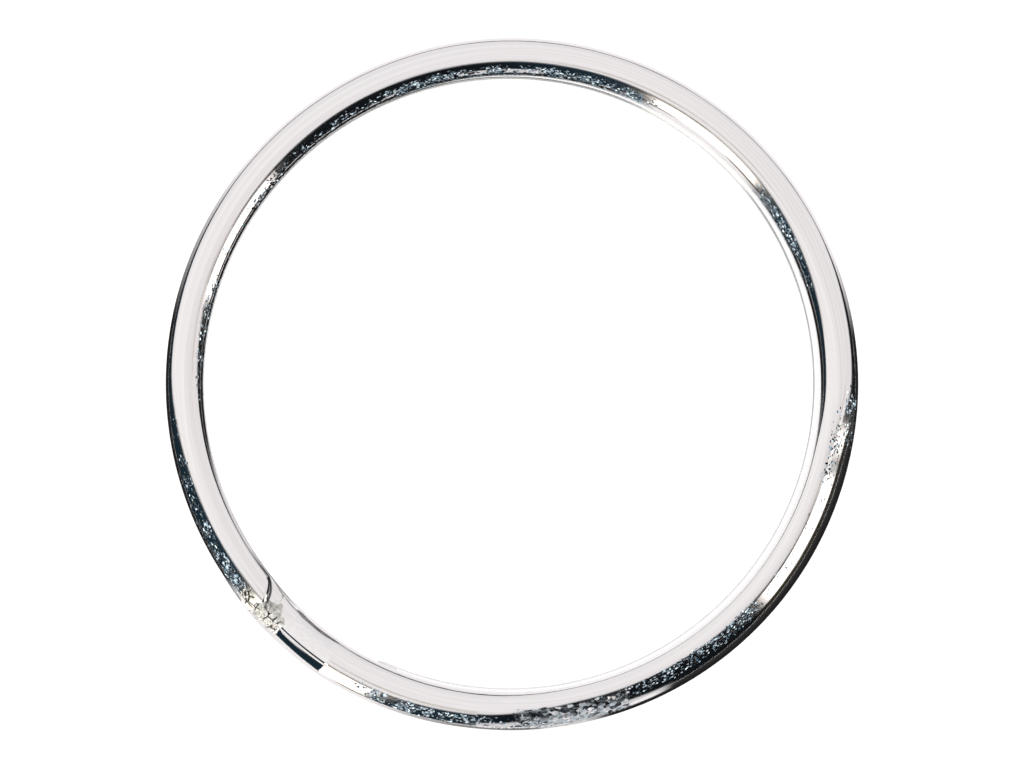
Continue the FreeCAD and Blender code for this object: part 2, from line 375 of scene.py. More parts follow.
shoulderWire = loftPiece(
    "shoulder_wire",
    stationsBetween(crossover["shoulderStart"], crossover["rampTop"], shoulderSection),
)
rampWire = loftPiece(
    "ramp_wire",
    stationsBetween(
        crossover["rampTop"], crossover["rampFoot"], rampSection, crossover["rampSpacing"]
    ),
)
footWire = loftPiece(
    "foot_wire", stationsBetween(crossover["rampFoot"], crossover["footEnd"], footSection)
)
for piece, node in (
    (shoulderWire, "crossover_shoulder"),
    (rampWire, "crossover_ramp"),
    (footWire, "crossover_foot"),
):
    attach(piece, "ring")
    finishPiece(piece, node)
print("crossover made")

# how far the crown lies over to the inside, in mm by degrees round the upper turn, as the rolls left it
rolled = {
    "lean": (
        (-98, 0), (-76, 0.42), (-14, 0.45), (0, 0.04), (10, 0), (168, 0), (204, 0.2), (224, 0.2),
    ),
    "mostLean": 0.45 * mm,
    "leanEdge": 0.14 * mm,  # the inside edge is pressed sharp where the crown leans most
}


def leanAt(angle):
    marks = rolled["lean"]
    for (low, first), (high, second) in zip(marks, marks[1:]):
        if low <= angle <= high:
            return blendValue(first, second, eased((angle - low) / (high - low))) * mm
    return 0


def upperSection(angle):
    lean = leanAt(angle)
    section = halfRound()
    section["middle"] -= lean
    share = min(1, lean / rolled["mostLean"])
    section["topInnerEdge"] = blendValue(wire["edgeRadius"], rolled["leanEdge"], share)
    return section


def upperPiece(name, fromAngle, toAngle):
    def sectionAt(share):
        return upperSection(blendValue(fromAngle, toAngle, share))

    return loftPiece(name, stationsBetween(fromAngle, toAngle, sectionAt, wire["upperSpacing"]))


# a free end's nose: its inner corner is cut well round, its outer corner little
nose = {
    "innerRadius": 1.3 * mm,
    "outerRadius": 0.55 * mm,
    "upperAngle": 222,
    "lowerAngle": 242,
    "straightDegrees": 7.0,
    "relief": 0.15 * mm,
    "innerEdge": 0.5 * mm,
    "outerEdge": 0.3 * mm,
    "cutDepth": 0.3 * mm,  # how deep the plan is cut where an edge has its full radius
    "edgeShare": 0.4,  # an edge radius takes no more of the width than this
    "rowSpacing": 0.3 * mm,
    "rows": 22,
}


def tipSection(turn, distance):
    # the section at a distance from the end of the nose
    start = upperSection(nose["upperAngle"]) if turn is upperTurn else halfRound()
    section = turnedBy(start, turn["outer"] - upperTurn["outer"])
    insets = {}
    for side in ("inner", "outer"):
        radius = nose[side + "Radius"]
        short = max(0, radius - distance)
        insets[side] = radius - math.sqrt(max(0, radius * radius - short * short))
        cut = eased(min(1, insets[side] / nose["cutDepth"]))
        label = "top" + side.capitalize() + "Edge"
        section[label] = blendValue(section[label], nose[side + "Edge"], cut)
    section["inner"] += insets["inner"]
    section["outer"] -= insets["outer"]
    width = section["outer"] - section["inner"]
    for edge in ("topOuterEdge", "topInnerEdge", "bottomOuterEdge", "bottomInnerEdge"):
        section[edge] = min(section[edge], nose["edgeShare"] * width)
    reach = math.radians(nose["straightDegrees"]) * section["middle"]
    section["bottom"] += nose["relief"] * max(0, 1 - distance / reach)
    return section


def tipPiece(name, turn, fromAngle, toAngle):
    # rows stand closer together towards the nose, where the outline turns fastest
    middle = turn["outer"] - wire["width"] / 2
    length = math.radians(abs(toAngle - fromAngle)) * middle
    sense = 1 if toAngle > fromAngle else -1
    distances = [length]
    while distances[-1] > nose["innerRadius"] + nose["rowSpacing"]:
        distances.append(distances[-1] - nose["rowSpacing"])
    last = distances[-1]
    for row in range(1, nose["rows"] + 1):
        distances.append(last * (1 - math.sin(math.pi / 2 * row / nose["rows"])))
    stations = []
    for distance in distances:
        angle = toAngle - sense * math.degrees(distance / middle)
        section = tipSection(turn, distance)
        stations.append((angle if sense > 0 else -angle, Vector((0, 0, 0)), section))
    return loftPiece(name, stations, turn)


# the ring stretches between its hinges; a bend piece is made across each hinge, with the hinge at its
# middle
halfBend = 12


def hingeChain(prefix):
    return [joint for joint in frame["joints"] if joint["name"].startswith(prefix)]


for prefix, turn, sense, noseAngle in (
    ("upper", upperTurn, 1, nose["upperAngle"]),
    ("lower", lowerTurn, -1, nose["lowerAngle"]),
):
    chain = hingeChain(prefix)
    angles = [angleOf(joint["name"]) for joint in chain]
    if prefix == "lower":
        angles[0] += 360  # this turn runs on past a full circle before it comes free
        start = crossover["footEnd"] + 360
        fixed = sweepPiece("lower_wire", turn, start, angles[0] + halfBend)
        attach(fixed, "ring")
        finishPiece(fixed, "lower_turn")
    else:
        start = crossover["shoulderStart"] - 360
        fixed = upperPiece("upper_wire", start, angles[0] - halfBend)
        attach(fixed, "ring")
        finishPiece(fixed, "upper_turn")
    for number, (joint, angle) in enumerate(zip(chain, angles), 1):
        start, end = angle - sense * halfBend, angle + sense * halfBend
        bendName = "%s_bend_%d" % (prefix, number)
        if prefix == "upper":
            bend = upperPiece(bendName, start, end)
        else:
            bend = sweepPiece(bendName, turn, start, end)
        place = Vector(joint["pos_m"])
        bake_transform(bend)
        if number < len(chain):
            finishPiece(bend, joint["child"])
        else:
            finishPiece(bend)
    tip = tipPiece(prefix + "_nose", turn, angles[-1] + sense * halfBend, noseAngle)
    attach(tip, prefix + "_tip")
    finishPiece(tip, prefix + "_tip")
    print(prefix, "turn made")


# shader helpers
def newGroup(name, inputs, outputs):
    group = bpy.data.node_groups.new(name, "ShaderNodeTree")
    for label, kind, value in inputs:
        socket = group.interface.new_socket(label, in_out="INPUT", socket_type="NodeSocket" + kind)
        if value is not None:
            socket.default_value = value
    for label, kind in outputs:
        group.interface.new_socket(label, in_out="OUTPUT", socket_type="NodeSocket" + kind)
    return group, group.nodes.new("NodeGroupInput").outputs, group.nodes.new("NodeGroupOutput").inputs


def feed(tree, socket, value):
    if hasattr(value, "is_output"):
        tree.links.new(value, socket)
    else:
        socket.default_value = value


def calc(tree, operation, *values):
    node = tree.nodes.new("ShaderNodeMath")
    node.operation = operation
    for socket, value in zip(node.inputs, values):
        feed(tree, socket, value)
    return node.outputs[0]


def stepBetween(tree, value, low, high, start=0.0, end=1.0):
    node = tree.nodes.new("ShaderNodeMapRange")
    node.interpolation_type = "SMOOTHSTEP"
    feed(tree, node.inputs["Value"], value)
    feed(tree, node.inputs["From Min"], low)
    feed(tree, node.inputs["From Max"], high)
    feed(tree, node.inputs["To Min"], start)
    feed(tree, node.inputs["To Max"], end)
    return node.outputs["Result"]


def noise(tree, vector, scale, detail=2.0, roughness=0.5, fourth=None):
    node = tree.nodes.new("ShaderNodeTexNoise")
    node.noise_dimensions = "4D" if fourth is not None else "3D"
    feed(tree, node.inputs["Vector"], vector)
    if fourth is not None:
        feed(tree, node.inputs["W"], fourth)
    feed(tree, node.inputs["Scale"], scale)
    feed(tree, node.inputs["Detail"], detail)
    feed(tree, node.inputs["Roughness"], roughness)
    return node.outputs["Fac"]


def mixColours(tree, share, first, second):
    node = tree.nodes.new("ShaderNodeMix")
    node.data_type = "RGBA"
    feed(tree, node.inputs["Factor"], share)
    feed(tree, node.inputs["A"], first)
    feed(tree, node.inputs["B"], second)
    return node.outputs["Result"]


def mixValues(tree, share, first, second):
    node = tree.nodes.new("ShaderNodeMix")
    feed(tree, node.inputs["Factor"], share)
    feed(tree, node.inputs["A"], first)
    feed(tree, node.inputs["B"], second)
    return node.outputs["Result"]


def window(tree, value, low, high, soft):
    rising = stepBetween(tree, value, low - soft, low + soft)
    falling = stepBetween(tree, value, high - soft, high + soft, 1.0, 0.0)
    return calc(tree, "MULTIPLY", rising, falling)


def rampOf(tree, value, stops):
    # a ramp of plain values between places from 0 to 1
    node = tree.nodes.new("ShaderNodeValToRGB")
    feed(tree, node.inputs["Fac"], value)
    marks = node.color_ramp.elements
    while len(marks) > 1:
        marks.remove(marks[0])
    for number, (position, level) in enumerate(stops):
        mark = marks[0] if number == 0 else marks.new(position)
        mark.position = position
        colour = level if isinstance(level, tuple) else (level, level, level)
        mark.color = (*colour, 1)
    return node.outputs["Color"]


def rampRound(tree, share, stops):
    # the same, for places in degrees round the ring or the compass
    return rampOf(tree, share, [(degrees / 360, level) for degrees, level in stops])


def tiltRound(tree, share, stops):
    # a tilt in degrees that changes round the compass
    tilts = rampRound(tree, share, [(degrees, level / 180) for degrees, level in stops])
    return calc(tree, "MULTIPLY", tilts, 180.0)


# where a point lies on the wire: degrees round the ring, and millimetres across and up
def makeWirePlace():
    group, given, put = newGroup(
        "wirePlace",
        [("Centre", "Vector", (0, 0, 0)), ("Middle Radius", "Float", 16.55)],
        [
            ("Around", "Float"),
            ("Across", "Float"),
            ("Up", "Float"),
            ("Along", "Float"),
            ("Slow", "Vector"),
        ],
    )
    place = group.nodes.new("ShaderNodeTexCoord")
    scale = group.nodes.new("ShaderNodeVectorMath")
    scale.operation = "SCALE"
    scale.inputs["Scale"].default_value = 1 / mm
    group.links.new(place.outputs["Object"], scale.inputs[0])
    away = group.nodes.new("ShaderNodeVectorMath")
    away.operation = "SUBTRACT"
    group.links.new(scale.outputs[0], away.inputs[0])
    group.links.new(given["Centre"], away.inputs[1])
    parts = group.nodes.new("ShaderNodeSeparateXYZ")
    group.links.new(away.outputs[0], parts.inputs[0])
    x, y, z = parts.outputs
    squares = calc(group, "ADD", calc(group, "MULTIPLY", x, x), calc(group, "MULTIPLY", y, y))
    radius = calc(group, "SQRT", squares)
    turn = calc(group, "DEGREES", calc(group, "ARCTAN2", y, x))
    around = calc(group, "FLOORED_MODULO", turn, 360.0)
    group.links.new(around, put["Around"])
    along = calc(group, "MULTIPLY", calc(group, "RADIANS", around), given["Middle Radius"])
    group.links.new(along, put["Along"])
    group.links.new(calc(group, "SUBTRACT", radius, given["Middle Radius"]), put["Across"])
    group.links.new(z, put["Up"])
    group.links.new(away.outputs[0], put["Slow"])
    return group


# fine lines that run along the wire, from the drawing die
def makeDrawnLines():
    group, given, put = newGroup(
        "drawnLines",
        [
            ("Slow", "Vector", (0, 0, 0)),
            ("Across", "Float", 0.0),
            ("Up", "Float", 0.0),
            ("Lines per mm", "Float", 26.0),
            ("Length", "Float", 6.0),
        ],
        [("Height", "Float"), ("Tint", "Float")],
    )
    parts = group.nodes.new("ShaderNodeSeparateXYZ")
    group.links.new(given["Slow"], parts.inputs[0])
    join = group.nodes.new("ShaderNodeCombineXYZ")
    fine = given["Lines per mm"]
    group.links.new(calc(group, "MULTIPLY", given["Across"], fine), join.inputs[0])
    group.links.new(calc(group, "MULTIPLY", given["Up"], fine), join.inputs[1])
    group.links.new(calc(group, "DIVIDE", parts.outputs[0], given["Length"]), join.inputs[2])
    fourth = calc(group, "DIVIDE", parts.outputs[1], given["Length"])
    group.links.new(noise(group, join.outputs[0], 1.0, 3.0, 0.6, fourth), put["Height"])
    group.links.new(noise(group, join.outputs[0], 0.35, 2.0, 0.5, fourth), put["Tint"])
    return group


# the flaked skin that rolling leaves along the edges: small facets, each with a tilt of its own
def makeFlakedSkin():
    group, given, put = newGroup(
        "flakedSkin",
        [
            ("Across", "Float", 0.0),
            ("Up", "Float", 0.0),
            ("Along", "Float", 0.0),
            ("Flakes per mm", "Float", 7.0),
            ("Stretch", "Float", 2.2),
            ("Slope", "Float", 0.6),
            ("Cover", "Float", 0.5),
        ],
        [("Height", "Float"), ("Mask", "Float"), ("Tone", "Float")],
    )
    join = group.nodes.new("ShaderNodeCombineXYZ")
    group.links.new(given["Across"], join.inputs[0])
    group.links.new(given["Up"], join.inputs[1])
    group.links.new(calc(group, "DIVIDE", given["Along"], given["Stretch"]), join.inputs[2])
    cells = group.nodes.new("ShaderNodeTexVoronoi")
    group.links.new(join.outputs[0], cells.inputs["Vector"])
    group.links.new(given["Flakes per mm"], cells.inputs["Scale"])
    away = group.nodes.new("ShaderNodeVectorMath")
    away.operation = "SUBTRACT"
    group.links.new(join.outputs[0], away.inputs[0])
    group.links.new(cells.outputs["Position"], away.inputs[1])
    lean = group.nodes.new("ShaderNodeVectorMath")
    lean.operation = "SUBTRACT"
    group.links.new(cells.outputs["Color"], lean.inputs[0])
    lean.inputs[1].default_value = (0.5, 0.5, 0.5)
    dot = group.nodes.new("ShaderNodeVectorMath")
    dot.operation = "DOT_PRODUCT"
    group.links.new(away.outputs[0], dot.inputs[0])
    group.links.new(lean.outputs[0], dot.inputs[1])
    picker = group.nodes.new("ShaderNodeTexWhiteNoise")
    group.links.new(cells.outputs["Position"], picker.inputs["Vector"])
    mask = calc(group, "LESS_THAN", picker.outputs["Value"], given["Cover"])
    slope = calc(group, "MULTIPLY", mask, calc(group, "MULTIPLY", given["Slope"], 2.0))
    group.links.new(calc(group, "MULTIPLY", dot.outputs["Value"], slope), put["Height"])
    group.links.new(mask, put["Mask"])
    tone = group.nodes.new("ShaderNodeSeparateColor")
    group.links.new(picker.outputs["Color"], tone.inputs[0])
    group.links.new(tone.outputs[1], put["Tone"])
    return group


wirePlace = makeWirePlace()
drawnLines = makeDrawnLines()
flakedSkin = makeFlakedSkin()

# finish of the wire: bright nickel over drawn steel
nickelPlate = {
    "colour": (0.775, 0.747, 0.76, 1),
    "deepColour": (0.735, 0.708, 0.72, 1),
    # painted reflections: the flakes' bluish-white glints and dark blue speckles
    "flakeGlintColour": (0.66, 0.78, 0.87, 1),
    "flakeDarkReflectionColour": (0.16, 0.25, 0.33, 1),
    "rubbedColour": (0.95, 0.94, 0.95, 1),  # the flat faces, bright from rubbing on each other
    "roughness": 0.07,
    "rubbedRoughness": 0.12,
    "seamMetal": 0.25,  # the worn corner of a flat face hardly mirrors
    "lineDepth": 0.0016 * mm,
    "flakesPerMm": 19,
    "flakeStretch": 2.0,
    "flakeSlope": 0.65,
    # where flakes lie, in mm across the wire from its middle
    "insideSkin": (-0.42, -0.72, 0.0, 1.3),
    "outsideSkin": (0.32, 0.86, 0.08),
    "crownSkin": (-0.22, 0.36, 0.1),
    "crownShare": ((0, 0), (277.2, 0), (291.6, 1), (343.8, 1), (356.4, 0)),
    "lowerSkinUpTo": (-0.2, -0.3),
    "patchScale": 1.1,
    "patches": (0.35, 0.6, 0.35, 1.7),
    "flakeTones": (0.1, 0.75),
    # the height of a flat face's rubbed part and of its worn corner, in mm from the seam
    "rubbedRise": (-0.16, -0.04),
    "cornerRise": (-0.13, -0.012, 0.006),
    # how much of the skin is flaked at the inside and the outside edge, by degrees round the ring;
    # since the flakes carry painted reflections, these tables also place painted reflections
    "flakedInside": (
        (0, 0), (17, 0), (19, 0.4), (36, 0.45), (40, 0), (62, 0), (66, 0.6), (95, 0.4), (99, 0.45),
        (108, 0.5), (118, 0.2), (145, 0.2), (148, 0.02), (157, 0.06), (163, 0.25), (178, 0.2),
        (184, 0), (360, 0),
    ),
    "flakedOutside": (
        (0, 0), (185, 0), (199, 0.12), (205, 0.4), (217, 0.5), (219, 0), (242, 0), (246, 0.45),
        (260, 0.28), (264, 0.2), (286, 0.15), (300, 0.25), (317, 0.35), (319, 0.03), (342, 0.05),
        (347, 0.45), (356, 0.4), (359, 0),
    ),
}

# what the press left on the wire at the crossover
pressed = {
    # spans count degrees round the ring, or mm across and up, each with its softness
    "wedgeAt": 223.4,
    "wedgeAcross": (-0.65, 0.3, 0.2, 2.9),  # the wedge's half width in degrees, from in to out
    "wobble": 3.0,
    "wobbleScale": 2.2,
    "topRise": (-0.75, -0.5),
    "foldScale": 5.0,
    "foldDepth": 0.09 * mm,
    "tornScale": 3.5,
    "tornShare": (0.36, 0.52),
    "outerPart": (0.2, 0.45),
    "tornColour": (0.5, 0.5, 0.465, 1),
    # painted highlight: the cream colour of the torn scales
    "scaleHighlightColour": (0.95, 0.93, 0.88, 1),
    # painted shade: the near black of the cracks between the scales
    "crackShadeColour": (0.05, 0.045, 0.04, 1),
    "crackScale": 1.9,
    "crackWidth": (0.02, 0.08),
    "crackDepth": 0.05 * mm,
    "scaleHighlightSpan": (217.6, 225.8, 0.5),
    "scaleHighlightAcross": (0.22, 0.92, 0.08),
    "rampSpan": (226, 236.6, 0.3),
    "grooveAcross": (0.42, 0.5, 0.05),
    "grooveDepth": 0.022 * mm,
    "jawSpan": (271, 290, 1.5),
    "jawAcross": (-0.1, 0.8, 0.1),
    "jawCover": 0.7,
    "jawStretch": 1.6,
    "dulledScale": 2.6,
    "dulledShare": (0.62, 0.46),
    "jawMarksPerMm": 6.0,
    "jawSlope": 0.3,
    "jawColour": (0.5, 0.55, 0.6, 1),
    "jawRoughness": 0.24,
    # painted shade: where the gap beside the free end lies in shade
    "noseGapShadeSpan": (218.3, 223.5, 0.2),
    "noseGapShadeRise": (0.2, 1.08, 0.035),
    "noseGapShadeAcross": (0.5, 0.3),
    "noseGapShadeColour": (0.02, 0.022, 0.026, 1),
}


def addBump(tree, normal, height, distance, strength=1.0):
    bump = tree.nodes.new("ShaderNodeBump")
    bump.inputs["Distance"].default_value = distance
    feed(tree, bump.inputs["Strength"], strength)
    feed(tree, bump.inputs["Height"], height)
    if normal:
        feed(tree, bump.inputs["Normal"], normal)
    return bump.outputs["Normal"]


def product(tree, *values):
    result = values[0]
    for value in values[1:]:
        result = calc(tree, "MULTIPLY", result, value)
    return result


def makeNickel(name, turn):
    material = bpy.data.materials.new(name)
    material.use_nodes = True
    tree = material.node_tree
    shader = tree.nodes["Principled BSDF"]
    shader.inputs["Metallic"].default_value = 1
    place = tree.nodes.new("ShaderNodeGroup")
    place.node_tree = wirePlace
    place.inputs["Centre"].default_value = turn["centre"] / mm
    place.inputs["Middle Radius"].default_value = (turn["outer"] - wire["width"] / 2) / mm
    around, across, rise, along, slow = [
        place.outputs[key] for key in ("Around", "Across", "Up", "Along", "Slow")
    ]
    lines = tree.nodes.new("ShaderNodeGroup")
    lines.node_tree = drawnLines
    feed(tree, lines.inputs["Slow"], slow)
    feed(tree, lines.inputs["Across"], across)
    feed(tree, lines.inputs["Up"], rise)
    normal = addBump(tree, None, lines.outputs["Height"], nickelPlate["lineDepth"])
    tint = stepBetween(tree, lines.outputs["Tint"], 0.38, 0.62)
    colour = mixColours(tree, tint, nickelPlate["deepColour"], nickelPlate["colour"])
    rough = stepBetween(tree, lines.outputs["Tint"], 0.3, 0.7, 0.1, nickelPlate["roughness"])

    # the flakes: thicker towards the inside edge, and along the outer side of the crown; their facets
    # are bumps, and their bluish-white and dark blue tones are painted reflections
    share = calc(tree, "DIVIDE", around, 360.0)
    inside = rampRound(tree, share, nickelPlate["flakedInside"])
    outside = rampRound(tree, share, nickelPlate["flakedOutside"])
    insideEdge = stepBetween(tree, across, *nickelPlate["insideSkin"])
    outsideEdge = window(tree, across, *nickelPlate["outsideSkin"])
    if turn is upperTurn:
        leaning = rampRound(tree, share, nickelPlate["crownShare"])
        onCrown = window(tree, across, *nickelPlate["crownSkin"])
        outsideEdge = mixValues(tree, leaning, outsideEdge, onCrown)
    cover = calc(
        tree, "ADD", product(tree, inside, insideEdge), product(tree, outside, outsideEdge)
    )
    if turn is lowerTurn:
        cover = product(tree, cover, stepBetween(tree, rise, *nickelPlate["lowerSkinUpTo"]))
    patches = noise(tree, slow, nickelPlate["patchScale"], 3.0)
    patchy = stepBetween(tree, patches, *nickelPlate["patches"])
    skin = tree.nodes.new("ShaderNodeGroup")
    skin.node_tree = flakedSkin
    feed(tree, skin.inputs["Across"], across)
    feed(tree, skin.inputs["Up"], rise)
    feed(tree, skin.inputs["Along"], along)
    feed(tree, skin.inputs["Cover"], product(tree, cover, patchy))
    skin.inputs["Flakes per mm"].default_value = nickelPlate["flakesPerMm"]
    skin.inputs["Stretch"].default_value = nickelPlate["flakeStretch"]
    skin.inputs["Slope"].default_value = nickelPlate["flakeSlope"]
    normal = addBump(tree, normal, skin.outputs["Height"], mm)
    tone = stepBetween(tree, skin.outputs["Tone"], *nickelPlate["flakeTones"])
    flakeReflections = mixColours(tree, tone, nickelPlate["flakeDarkReflectionColour"], nickelPlate["flakeGlintColour"])
    colour = mixColours(tree, skin.outputs["Mask"], colour, flakeReflections)

    if turn is upperTurn:
        # the floor of the step, crumpled by the press in a wedge that points inwards
        wander = noise(tree, slow, pressed["wobbleScale"], 2.0)
        wobble = calc(tree, "MULTIPLY", calc(tree, "SUBTRACT", wander, 0.5), pressed["wobble"])
        shaken = calc(tree, "ADD", around, wobble)
        aside = calc(tree, "ABSOLUTE", calc(tree, "SUBTRACT", shaken, pressed["wedgeAt"]))
        wedge = stepBetween(tree, across, *pressed["wedgeAcross"])
        spread = calc(tree, "SUBTRACT", wedge, aside)
        onTop = stepBetween(tree, rise, *pressed["topRise"])
        crumpled = product(tree, onTop, stepBetween(tree, spread, -0.1, 0.45))
        folds = noise(tree, slow, pressed["foldScale"], 3.0, 0.6)
        normal = addBump(tree, normal, folds, pressed["foldDepth"], crumpled)
        outerPart = stepBetween(tree, across, *pressed["outerPart"])
        torn = product(
            tree,
            crumpled,
            stepBetween(tree, noise(tree, slow, pressed["tornScale"], 2.0), *pressed["tornShare"]),
            calc(tree, "SUBTRACT", 1.0, outerPart),
        )
        colour = mixColours(tree, torn, colour, pressed["tornColour"])
        # its outer part torn open in scales with cracks between them; the scales get a painted
        # highlight in cream, and the cracks painted shade in near black
        cracks = tree.nodes.new("ShaderNodeTexVoronoi")
        cracks.feature = "DISTANCE_TO_EDGE"
        feed(tree, cracks.inputs["Vector"], slow)
        cracks.inputs["Scale"].default_value = pressed["crackScale"]
        crackLineAndShade = stepBetween(tree, cracks.outputs["Distance"], *pressed["crackWidth"], 1.0, 0.0)
        scalesAndHighlight = product(
            tree,
            onTop,
            window(tree, shaken, *pressed["scaleHighlightSpan"]),
            window(tree, across, *pressed["scaleHighlightAcross"]),
        )
        broken = stepBetween(tree, noise(tree, slow, 1.6), 0.42, 0.5)  # cracks run out in places
        crackLineAndShade = product(tree, crackLineAndShade, scalesAndHighlight, broken)
        normal = addBump(
            tree, normal, calc(tree, "SUBTRACT", 1.0, crackLineAndShade), pressed["crackDepth"], scalesAndHighlight
        )
        colour = mixColours(tree, scalesAndHighlight, colour, pressed["scaleHighlightColour"])
        # painted shade along the cracks
        colour = mixColours(tree, crackLineAndShade, colour, pressed["crackShadeColour"])
        # a drawn groove down the ramp, and the marks of the jaws beyond the shoulder
        onRamp = window(tree, around, *pressed["rampSpan"])
        groove = window(tree, across, *pressed["grooveAcross"])
        normal = addBump(
            tree, normal, calc(tree, "SUBTRACT", 1.0, groove), pressed["grooveDepth"], onRamp
        )
        held = product(
            tree,
            window(tree, around, *pressed["jawSpan"]),
            window(tree, across, *pressed["jawAcross"]),
        )
        jaws = tree.nodes.new("ShaderNodeGroup")
        jaws.node_tree = flakedSkin
        feed(tree, jaws.inputs["Across"], across)
        feed(tree, jaws.inputs["Up"], rise)
        feed(tree, jaws.inputs["Along"], along)
        feed(tree, jaws.inputs["Cover"], calc(tree, "MULTIPLY", held, pressed["jawCover"]))
        jaws.inputs["Flakes per mm"].default_value = pressed["jawMarksPerMm"]
        jaws.inputs["Stretch"].default_value = pressed["jawStretch"]
        jaws.inputs["Slope"].default_value = pressed["jawSlope"]
        normal = addBump(tree, normal, jaws.outputs["Height"], mm)
        cloudy = noise(tree, slow, pressed["dulledScale"], 3.0)
        dulled = product(tree, held, stepBetween(tree, cloudy, *pressed["dulledShare"]))
        colour = mixColours(tree, dulled, colour, pressed["jawColour"])
        rough = mixValues(tree, dulled, rough, pressed["jawRoughness"])
        # painted shade: the nose's inner side below its rim is painted near black, the shade in the gap
        # beside the free end
        noseGapShade = product(
            tree,
            window(tree, around, *pressed["noseGapShadeSpan"]),
            window(tree, rise, *pressed["noseGapShadeRise"]),
            stepBetween(tree, across, *pressed["noseGapShadeAcross"]),
        )
        colour = mixColours(tree, noseGapShade, colour, pressed["noseGapShadeColour"])
    else:
        # the face that shows beyond the upper turn
        flat = stepBetween(tree, rise, *nickelPlate["rubbedRise"])
        colour = mixColours(tree, flat, colour, nickelPlate["rubbedColour"])
        rough = mixValues(tree, flat, rough, nickelPlate["rubbedRoughness"])
        corner = window(tree, rise, *nickelPlate["cornerRise"])
        feed(tree, shader.inputs["Metallic"], mixValues(tree, corner, 1.0, nickelPlate["seamMetal"]))
    feed(tree, shader.inputs["Normal"], normal)
    feed(tree, shader.inputs["Base Color"], colour)
    feed(tree, shader.inputs["Roughness"], rough)
    return material


upperNickel = makeNickel("upperNickel", upperTurn)
lowerNickel = makeNickel("lowerNickel", lowerTurn)
for piece in pieces:
    piece.data.materials.clear()
    piece.data.materials.append(lowerNickel if piece.name.startswith("lower") else upperNickel)
print("materials made")

# the studio: a white floor under a white room whose near side is dark
studio = {
    "floorSize": 0.6,
    "floorColour": (0.9, 0.9, 0.9, 1),
    "floorGlow": 0.62,
    "floorGleam": 0.4,  # the glow that the metal sees
    "wallLevel": 1.0,
    # the ceiling's tone by compass degrees, and straight up
    "ceilingTone": (
        (0, (1.02, 1.0, 0.985)), (60, (1.08, 1.075, 1.06)), (110, (1.09, 1.09, 1.08)),
        (180, (1.17, 1.165, 1.13)), (212, (1.1, 1.1, 1.085)), (270, (1.05, 1.05, 1.04)),
        (360, (1.02, 1.0, 0.985)),
    ),
    "ceilingMiddle": (1.08, 1.07, 1.06, 1),
    # each lamp's span round the compass with its softness, and its span of tilt with its softness
    "lamps": (
        ((219.5, 243.5), 1.2, (29.5, 78), 1.5),
        ((227, 238), 2, (70, 96), 2),
        ((319.5, 344.5), 1.2, (30, 72), 1.5),
    ),
    "lampLevel": 2.2,
    "lampColour": (1, 0.97, 0.91),
    "gapLevel": 0.12,  # the dark line between the wall and the table
    "gapTilt": (79, 85),
    "wallTilt": (40, 65),  # where the ceiling turns into the wall
    "middleTilt": (1, 10),
    # how far down the white ceiling comes, in degrees from straight up, by compass degrees
    "ceilingEdge": (
        (0, 52), (15, 62), (28, 84), (40, 130), (128, 130), (138, 84), (152, 74), (166, 62),
        (180, 57), (190, 46), (200, 36), (212, 28), (222, 25), (244, 24), (250, 21), (270, 18),
        (300, 18), (318, 22), (340, 25), (348, 40), (360, 52),
    ),
    "nearColour": (
        (0, (0.012, 0.014, 0.016)), (180, (0.012, 0.024, 0.032)), (216, (0.012, 0.034, 0.052)),
        (220, (0.13, 0.1, 0.04)), (243, (0.2, 0.16, 0.08)), (247, (0.012, 0.03, 0.045)),
        (262, (0.010, 0.024, 0.035)), (275, (0.006, 0.009, 0.012)), (317, (0.006, 0.008, 0.010)),
        (321, (0.045, 0.04, 0.026)), (345, (0.03, 0.028, 0.02)), (360, (0.012, 0.014, 0.016)),
    ),
    "softness": 3.0,
    # a thin line between two panels of the ceiling: its tilt, and how much it shows
    "seamTilt": ((215, 8), (245, 10), (262, 14), (318, 14), (340, 20), (360, 29)),
    "seamShows": (
        (214, 0), (222, 0.8), (256, 0.9), (264, 0), (330, 0), (338, 0.7), (359, 0.6), (360, 0),
    ),
    "seamColour": (0.4, 0.33, 0.2, 1),
    "seamWidth": 2.0,
    "seamCore": 0.8,
    # the cards on the table, black sheets of painted shade: each one's radii, and how dark it is by
    # degrees round the ring
    "cardCorners": 120,
    "cardHeight": 0.02 * mm,
    "shadeCardColour": (0.004, 0.004, 0.005, 1),
    "insideCardRadii": (0.2 * mm, 14.75 * mm),
    "outsideCardRadii": (17.9 * mm, 23 * mm),
    "farCardRadii": (23 * mm, 120 * mm),
    "insideCard": (
        (0, 1), (34, 1), (42, 0), (62, 0), (70, 1), (190, 1), (200, 0.3), (212, 0.3), (217, 1),
        (224, 1), (226, 0), (344, 0), (354, 0.8), (360, 1),
    ),
    "outsideCard": (
        (0, 1), (8, 1), (22, 0), (140, 0), (168, 1), (214, 1), (219, 0), (245, 0), (256, 0.5),
        (262, 0.7), (274, 0.8), (276, 0.25), (283, 0.25), (286, 1), (360, 1),
    ),
    "farCard": (
        (0, 1), (8, 1), (22, 0), (140, 0), (168, 1), (214, 1), (219, 0), (245, 0), (256, 0.5),
        (263, 0.5), (265, 0), (295, 0), (298, 1), (360, 1),
    ),
    # a low bright stretch of wall: it starts at this tilt, and goes down to the table
    "lowWallTilt": ((264, 54), (279, 56), (287, 72), (296, 82)),
    "lowWallSoft": 2.0,
    "lowWallSpan": (264, 297, 0.8),  # compass degrees from, to, and the softness
    "lowWallEnd": (92, 90),
    "lowWallLevel": 0.85,
}
deselectAll()
bpy.ops.mesh.primitive_plane_add(size=studio["floorSize"], location=(0, 0, cadBox[0].z))
floor = bpy.context.object
floor.name = "floor"
white = bpy.data.materials.new("whiteFloor")
